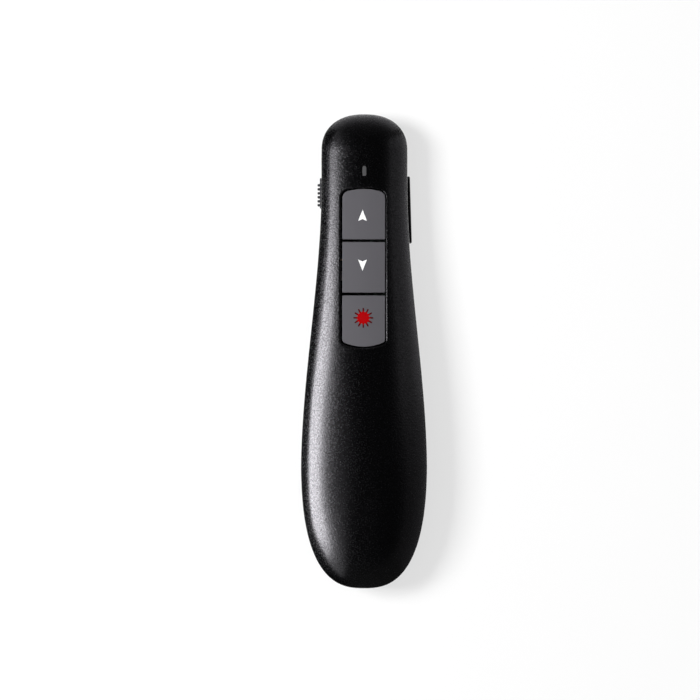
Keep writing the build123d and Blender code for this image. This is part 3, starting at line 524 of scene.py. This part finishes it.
# ---- Upper shell -------------------------------------------------------------------------------
OUTLINE_SAMPLES = 400
SHELL_COLUMNS = 260  # on each side
OPENING_SAMPLES = 60
CROWN_ROWS = 56
CROWN_CROWDING = 1.5  # over 1, so that the crown's rows crowd towards the shoulder
SLOPE_PROBE = 0.05  # the step over which the crown's slope is measured


def matched_opening(side):
    """Right side of the key opening with a point for each of the body's. Its two ends and its straight
    side each share the length of the body's side that lies beside them."""
    opening = column_side(KEYS_FRONT_Y, KEYS_REAR_Y, FRONT_END, REAR_END, OPENING_SAMPLES, KEY_WINDOW_GAP)
    run, opening_run = run_along(side), run_along(opening)
    front_turn, rear_turn = KEYS_FRONT_Y - sum(FRONT_END), KEYS_REAR_Y + sum(REAR_END)
    run_marks = np.interp([-front_turn, -rear_turn], -side[:, 1], run)
    straight = np.where(np.isclose(opening[:, 0], KEY_HALF_WIDTH + KEY_WINDOW_GAP, rtol=0, atol=1e-6))[0]
    opening_marks = opening_run[straight[[0, -1]]]
    wanted = np.interp(run, [0, *run_marks, run[-1]], [0, *opening_marks, opening_run[-1]])
    return resample(opening, wanted / opening_run[-1])


def upper_shell():
    """A torus of rows: up the wall of the key opening, over its rim, out along the crown, over the
    shoulder, down to the parting, in round the lip's step and back under the roof.

    A column joins a point of the opening to one of the body's outline. The crown's rows are shares
    between them in plan, at the crown's height. The shoulder is an arc from the crown's own slope
    round to upright."""
    side = resample(body_side(OUTLINE_SAMPLES), np.linspace(0, 1, SHELL_COLUMNS))
    body, window = mirrored(side), mirrored(matched_opening(side), WINDOW_MIDDLE_X)
    body_out, window_out = outward(body), outward(window)
    rows = []

    def inset(amount):
        return body - body_out * np.reshape(amount, (-1, 1))

    for turn in quarter_turn(7):
        plan = window + window_out * WINDOW_EDGE * (1 - math.cos(turn))
        rows.append(laid(plan, crown, -WINDOW_EDGE * (1 - math.sin(turn))))

    near, nearer = inset(2 * SLOPE_PROBE), inset(SLOPE_PROBE)
    steepness = np.arctan((crown(*near.T) - crown(*nearer.T)) / SLOPE_PROBE)
    inner = window + window_out * WINDOW_EDGE
    outer = inset(SHOULDER_RADIUS * (1 - np.sin(steepness)))
    for share in 1 - (1 - np.linspace(0, 1, CROWN_ROWS)[1:]) ** CROWN_CROWDING:
        rows.append(laid(inner + (outer - inner) * share, crown))

    shoulder_top = rows[-1][:, 2]
    for share in np.linspace(0, 1, 6)[1:]:
        slope = steepness + (math.pi / 2 - steepness) * share
        plan = inset(SHOULDER_RADIUS * (1 - np.sin(slope)))
        rows.append(raised(plan, shoulder_top - SHOULDER_RADIUS * (np.cos(steepness) - np.cos(slope))))
    wall_top = rows[-1][:, 2]
    for share in (0.33, 0.67):
        rows.append(raised(body, wall_top + (PARTING_Z + EDGE_RADIUS - wall_top) * share))

    for turn in quarter_turn(4):
        plan = inset(EDGE_RADIUS * (1 - math.cos(turn)))
        rows.append(raised(plan, PARTING_Z + EDGE_RADIUS * (1 - math.sin(turn))))
    lip_top = PARTING_Z + LIP_ROOM
    for amount, height in ((LIP_STEP, PARTING_Z), (LIP_STEP, lip_top), (WALL, lip_top)):
        rows.append(raised(inset(amount), height))
    inner_wall = inset(WALL)
    for share in np.linspace(0, 1, 14):
        rows.append(laid(inner_wall + (window - inner_wall) * share, crown, -TOP_WALL))
    return closed_skin("upper_shell_skin", np.stack(rows), FINISHES["shell_gloss_black"], ring=True)


shell = upper_shell()
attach(shell, "housing")
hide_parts("upper_shell")


# ---- Keys --------------------------------------------------------------------------------------
CENTRE_SHARE = 0.05  # where the first row round a middle lies
CAP_POINTS = 400
CAP_FACE_ROWS = 20


def key_cap(key):
    """A key: rows out from its middle over the face, over a rounded edge, and down its sides."""
    rear, front = KEY_ENDS[key]
    front_end = FRONT_END if key == "page_up" else SQUARE_END
    rear_end = REAR_END if key == "laser" else SQUARE_END
    outline = mirrored(column_side(front, rear, front_end, rear_end, samples=24), KEY_MIDDLE_X)
    outline = resample_round(outline, CAP_POINTS)
    out = outward(outline)
    face = outline - out * KEY_EDGE
    middle = np.array([KEY_MIDDLE_X, (rear + front) / 2])
    rows = []
    for share in np.linspace(CENTRE_SHARE, 1, CAP_FACE_ROWS):
        rows.append(laid(middle + (face - middle) * share, key_top))
    rim = rows[-1][:, 2]
    for turn in quarter_turn(6)[1:]:
        rows.append(raised(face + out * KEY_EDGE * math.sin(turn), rim - KEY_EDGE * (1 - math.cos(turn))))
    rows.append(raised(outline, rim - KEY_DEPTH))
    cap = closed_skin(key + "_cap", np.stack(rows), FINISHES["key_grey"])
    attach(cap, key + "_button")
    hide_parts(key + "_key")


for key_name in KEY_ENDS:
    key_cap(key_name)


# ---- Printed marks -----------------------------------------------------------------------------
INK_HEIGHT = 0.03
INK_DEPTH = 0.08
INK_POINTS = 240
INK_ROWS = 12
MARK_X = -0.52
MARK_WIDTH = 2.4
MARK_LENGTH = 3.1
MARK_NOTCH = 0.5
STAR_MIDDLE = (-0.29, 9.0)
STAR_POINTS = 12
STAR_CORE, STAR_REACH = 1.6, 2.72
STAR_FOOT, STAR_TIP = 0.17, 0.065  # half a ray's angle at the core and at its tip
STAR_SHADE = (1.3, 2.3)  # radii between which the ink darkens
LETTER_FOOT_Z = 4.5
LETTER_HEIGHT = 1.6
CAPITAL_SHARE = 0.72  # a capital's height in the font's size
LETTER_DEPTH = 0.08  # to either side of the wall


def printed(name, outline, centre, body, finish):
    """A thin printed patch on a key: rows are shares of the way from the centre to the outline, laid
    on the keys' height, with a skirt down into the surface."""
    edge = resample_round(outline, INK_POINTS)
    rows = []
    for share in np.linspace(CENTRE_SHARE, 1, INK_ROWS):
        rows.append(laid(centre + (edge - centre) * share, key_top, INK_HEIGHT))
    rows.append(laid(edge, key_top, -INK_DEPTH))
    piece = closed_skin(name, np.stack(rows), finish)
    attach(piece, body)


def arrow(name, y, direction, body):
    """An arrowhead with a notched base: y is its middle, and direction is 1 towards the nose."""
    half, reach = MARK_WIDTH / 2, MARK_LENGTH / 2
    outline = np.array([(0, reach), (half, -reach), (0, MARK_NOTCH - reach), (-half, -reach)])
    outline = outline * (1, direction) + (MARK_X, y)
    printed(name, outline, np.array([MARK_X, y]), body, WHITE_INK)


def star_ink():
    """Clear red in the spot, and darker out along the rays."""
    finish = Finish("star_ink", IOR=1.45, Specular_IOR_Level=0.05)
    film = finish.noise(0.4)
    rays = finish.away_from((*STAR_MIDDLE, key_top(*STAR_MIDDLE))).between(*STAR_SHADE)
    finish.set("Base Color", finish.blend(rays, (0.28, 0.001, 0.002), (0.05, 0.004, 0.005)))
    finish.set("Roughness", 0.5 + film * 0.1)
    return finish.material


def star(name, body):
    """A round spot with even rays: the outline's radius is the core's, or a ray's where one stands."""
    ray = [(-STAR_FOOT, STAR_CORE), (-STAR_TIP, STAR_REACH), (STAR_TIP, STAR_REACH), (STAR_FOOT, STAR_CORE)]
    ray.append((math.pi / STAR_POINTS, STAR_CORE))
    offsets, radii = np.array(ray).T
    angles = (full_turn(STAR_POINTS)[:, None] + offsets).ravel()
    radii = np.tile(radii, STAR_POINTS)
    outline = np.stack([np.sin(angles), np.cos(angles)], -1) * radii[:, None] + STAR_MIDDLE
    printed(name, outline, np.array(STAR_MIDDLE), body, star_ink())


def light_window():
    """The light pipe's top: a slot's outline from its middle to a rounded edge, and down through the
    shell."""
    proud, edge, depth = 0.04, 0.12, 1.8
    half, flat = LED_WIDTH / 2, (LED_LENGTH - LED_WIDTH) / 2
    turn = full_turn(64)
    across = np.stack([np.sin(turn), np.cos(turn)], -1)
    middle = np.stack([0 * turn, LED_Y + flat * np.where(np.cos(turn) >= 0, 1, -1)], -1)
    rows = []
    for share in (0.1, 0.35, 0.6, 0.8):
        plan = (0, LED_Y) + (middle + across * (half - edge) - (0, LED_Y)) * share
        rows.append(laid(plan, crown, proud))
    for bend in quarter_turn(5):
        plan = middle + across * (half - edge + edge * math.sin(bend))
        rows.append(laid(plan, crown, proud - edge * (1 - math.cos(bend))))
    rows.append(laid(middle + across * half, crown, -depth))
    return closed_skin("light_pipe_window", np.stack(rows), FINISHES["light_pipe_grey"])


def wall_text(name, words, y):
    """Letters on the left wall, read with the keys upwards, from y on towards the tail: a letter's
    width runs along the wall, and its depth out from the wall's own half width."""
    curve = bpy.data.curves.new(name, "FONT")
    curve.body = words
    curve.size = LETTER_HEIGHT / CAPITAL_SHARE
    curve.extrude = LETTER_DEPTH
    source = put_in_scene(name + "_source", curve)
    bpy.context.view_layer.update()
    mesh = bpy.data.meshes.new_from_object(source)
    bpy.data.objects.remove(source)
    points = np.zeros(len(mesh.vertices) * 3)
    mesh.vertices.foreach_get("co", points)
    along, up, out = points.reshape(-1, 3).T
    place_y, place_z = y - along, LETTER_FOOT_Z + up
    placed = np.stack([-wall_x(place_y, place_z) - out, place_y, place_z], -1) * MM
    mesh.vertices.foreach_set("co", placed.ravel())
    mesh.materials.append(GREY_INK)
    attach(put_in_scene(name, mesh), "housing")


window = light_window()
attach(window, "housing")
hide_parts("light_pipe")
wall_text("switch_on", "ON", 53.6)
wall_text("switch_off", "OFF", 38.1)
arrow("page_up_mark", 36.97, 1, "page_up_button")
arrow("page_down_mark", 23.32, -1, "page_down_button")
star("laser_mark", "laser_button")


# ---- Floor and backdrop ------------------------------------------------------------------------
STAGE_RADIUS = 3000.0
FLOOR_SIDES = 96
FLOOR_GLOW = 0.665  # near the object


def floor_finish():
    """Plain pale floor that lights itself up to the backdrop's white away from the object."""
    finish = Finish("pale_floor", Roughness=0.9, Specular_IOR_Level=0.0, Emission_Color=(1.0, 1.0, 1.0))
    away = finish.away_from((0.0, 0.0, 0.0)).between(120.0, 700.0)
    mottle = finish.noise(40.0)
    finish.set("Base Color", finish.blend(mottle, (0.245, 0.245, 0.245), (0.25, 0.25, 0.25)))
    finish.set("Emission Strength", FLOOR_GLOW + away * (1 - FLOOR_GLOW))
    return finish.material


def floor_plate():
    """A flat many-sided disc."""
    turn = full_turn(FLOOR_SIDES)
    corners = np.stack([np.cos(turn), np.sin(turn), 0 * turn], -1) * STAGE_RADIUS * MM
    mesh = bpy.data.meshes.new("floor")
    mesh.from_pydata(corners.tolist(), [], [list(range(FLOOR_SIDES))])
    mesh.materials.append(floor_finish())
    return put_in_scene("floor", mesh)


def dome():
    """A sphere of plain white light from a little below the floor up, with a flat disc underneath."""
    finish = Finish("backdrop_white", "ShaderNodeEmission", Color=(1.0, 1.0, 1.0), Strength=1.0)
    turn, rise = np.meshgrid(full_turn(64), np.linspace(-0.1, math.pi / 2, 18)[:-1])
    rows = np.stack([np.cos(turn) * np.cos(rise), np.sin(turn) * np.cos(rise), np.sin(rise)], -1)
    return closed_skin("backdrop", rows * STAGE_RADIUS, finish.material)


floor = floor_plate()
hide_from(floor, "glossy", "shadow")
backdrop = dome()
hide_from(backdrop, "diffuse", "glossy", "transmission", "shadow")


# ---- Light -------------------------------------------------------------------------------------
# Places, heights and reaches in millimetres. The cards' tops and feet are heights over the floor.
BODY_MIDDLE = (0, 0, 12)
CARD_TINT = (0.99, 0.97, 1.03)
BAND_STRENGTH = 13.2
BAND_FOOT = (-46.0, -22.0)
BAND_TOP, BAND_REACH = 59.0, 33.0
NOSE_FOOT_RISE, NOSE_TOP_RISE = 45.0, 52.0
TAIL_FOOT_RISE, TAIL_TOP_RISE = 46.0, 35.0
GLOW_TOP, GLOW_REACH = 150.0, 200.0
RIGHT_STRENGTH = 0.36
RIGHT_TOP, RIGHT_NOSE_RISE, RIGHT_REACH = 250.0, 200.0, 150.0
FRONT_STRENGTH = 0.38
FRONT_TOP, FRONT_REACH = -200.0, 300.0
ROUND_ABOUT_STRENGTH = 0.07
BELOW_STRENGTH = 2.2


def softbox(name, place, side, power):
    """A square area light that points at the body and never shows in reflections."""
    data = bpy.data.lights.new(name, "AREA")
    data.size = side * MM
    data.energy = power
    light = put_in_scene(name, data)
    light.location = Vector(place) * MM
    light.rotation_euler = (Vector(BODY_MIDDLE) - Vector(place)).to_track_quat("-Z", "Y").to_euler()
    hide_from(light, "camera", "glossy")


def left_light():
    """A band with a faint glow far above it. Its foot and top stand higher beside the nose and behind
    the tail, and it is even along the palm and fades round both ends."""
    finish = Finish("left_light", "ShaderNodeEmission", Color=CARD_TINT)
    y, z = finish.along("Y"), finish.along("Z")
    nose, tail = y.between(-8.0, 45.0), 1 - y.between(-150.0, -70.0)
    foot = (z - nose * NOSE_FOOT_RISE - tail * TAIL_FOOT_RISE).between(*BAND_FOOT)
    top = BAND_TOP + nose * NOSE_TOP_RISE + tail * TAIL_TOP_RISE
    band = z.soft_top(top, BAND_REACH) * y.between(-215.0, -85.0)
    glow = z.soft_top(GLOW_TOP, GLOW_REACH) * (tail * 0.9 + 0.5)
    ends = y.between(-600.0, -150.0) * (1 - y.between(40.0, 75.0) * 0.97)
    finish.set("Strength", foot * (band * BAND_STRENGTH + glow) * ends)
    return finish.material


def right_light():
    """Dim, with a soft top, and stronger and taller beside the nose."""
    finish = Finish("right_light", "ShaderNodeEmission", Color=CARD_TINT)
    nose = finish.along("Y").between(0.0, 110.0)
    fade = finish.along("Z").soft_top(nose * RIGHT_NOSE_RISE + RIGHT_TOP, RIGHT_REACH)
    finish.set("Strength", fade * (nose * 0.75 + 0.25) * RIGHT_STRENGTH)
    return finish.material


def front_light():
    """Dim and even up to a height, with a soft top."""
    finish = Finish("front_light", "ShaderNodeEmission", Color=CARD_TINT)
    finish.set("Strength", finish.along("Z").soft_top(FRONT_TOP, FRONT_REACH) * FRONT_STRENGTH)
    return finish.material


def reflected_card(name, start, end, bottom, top, finish):
    """An upright card over a plan line from start to end, which shows in the gloss alone."""
    corners = [(*start, bottom), (*end, bottom), (*end, top), (*start, top)]
    mesh = bpy.data.meshes.new(name)
    mesh.from_pydata([Vector(corner) * MM for corner in corners], [], [(0, 1, 2, 3)])
    mesh.materials.append(finish)
    card = put_in_scene(name, mesh)
    hide_from(card, "camera", "diffuse", "transmission", "shadow")


def studio_world():
    """Reflected surroundings by height: dark overhead, dim round about, pale straight below."""
    surroundings = Finish("studio", "ShaderNodeBackground", kind="World")
    direction = surroundings.add("ShaderNodeTexCoord", {}, {}, "Generated")
    z = surroundings.add("ShaderNodeSeparateXYZ", {}, {"Vector": direction}, "Z")
    round_about = (1 - z.between(0.3, 0.7)) * ROUND_ABOUT_STRENGTH
    surroundings.set("Strength", round_about + (0 - z).between(0.8, 0.95) * BELOW_STRENGTH)
    world = surroundings.material
    bpy.context.scene.world = world
    for ray in ("camera", "diffuse", "transmission", "scatter"):
        setattr(world.cycles_visibility, ray, False)


softbox("overhead", (0, 0, 1400), side=1600, power=8.0)
softbox("key_light", (-680, 120, 860), side=360, power=18.4)
reflected_card("left_card", (-150, -700), (-150, 200), -150.0, 1500.0, left_light())
reflected_card("right_card", (600, -600), (600, 400), -700.0, 900.0, right_light())
reflected_card("front_card", (-600, 600), (600, 600), -800.0, 900.0, front_light())
studio_world()
bpy.context.scene.cycles.caustics_reflective = False
bpy.context.scene.cycles.caustics_refractive = False

# ---- Camera ------------------------------------------------------------------------------------
CAMERA_HEIGHT = 1000.0
VIEW_WIDTH = 192.3  # at the parting's height
VIEW_MIDDLE = (-3.89, 0.25)
VIEW_ROLL = 0.0014
camera_data = bpy.data.cameras.new("camera")
camera_data.lens = camera_data.sensor_width * (CAMERA_HEIGHT - PARTING_Z) / VIEW_WIDTH
camera_data.clip_start = 0.01
camera = put_in_scene("camera", camera_data)
camera.location = Vector((*VIEW_MIDDLE, CAMERA_HEIGHT)) * MM
camera.rotation_euler.z = VIEW_ROLL
bpy.context.scene.camera = camera
bpy.context.scene.view_settings.view_transform = "Standard"
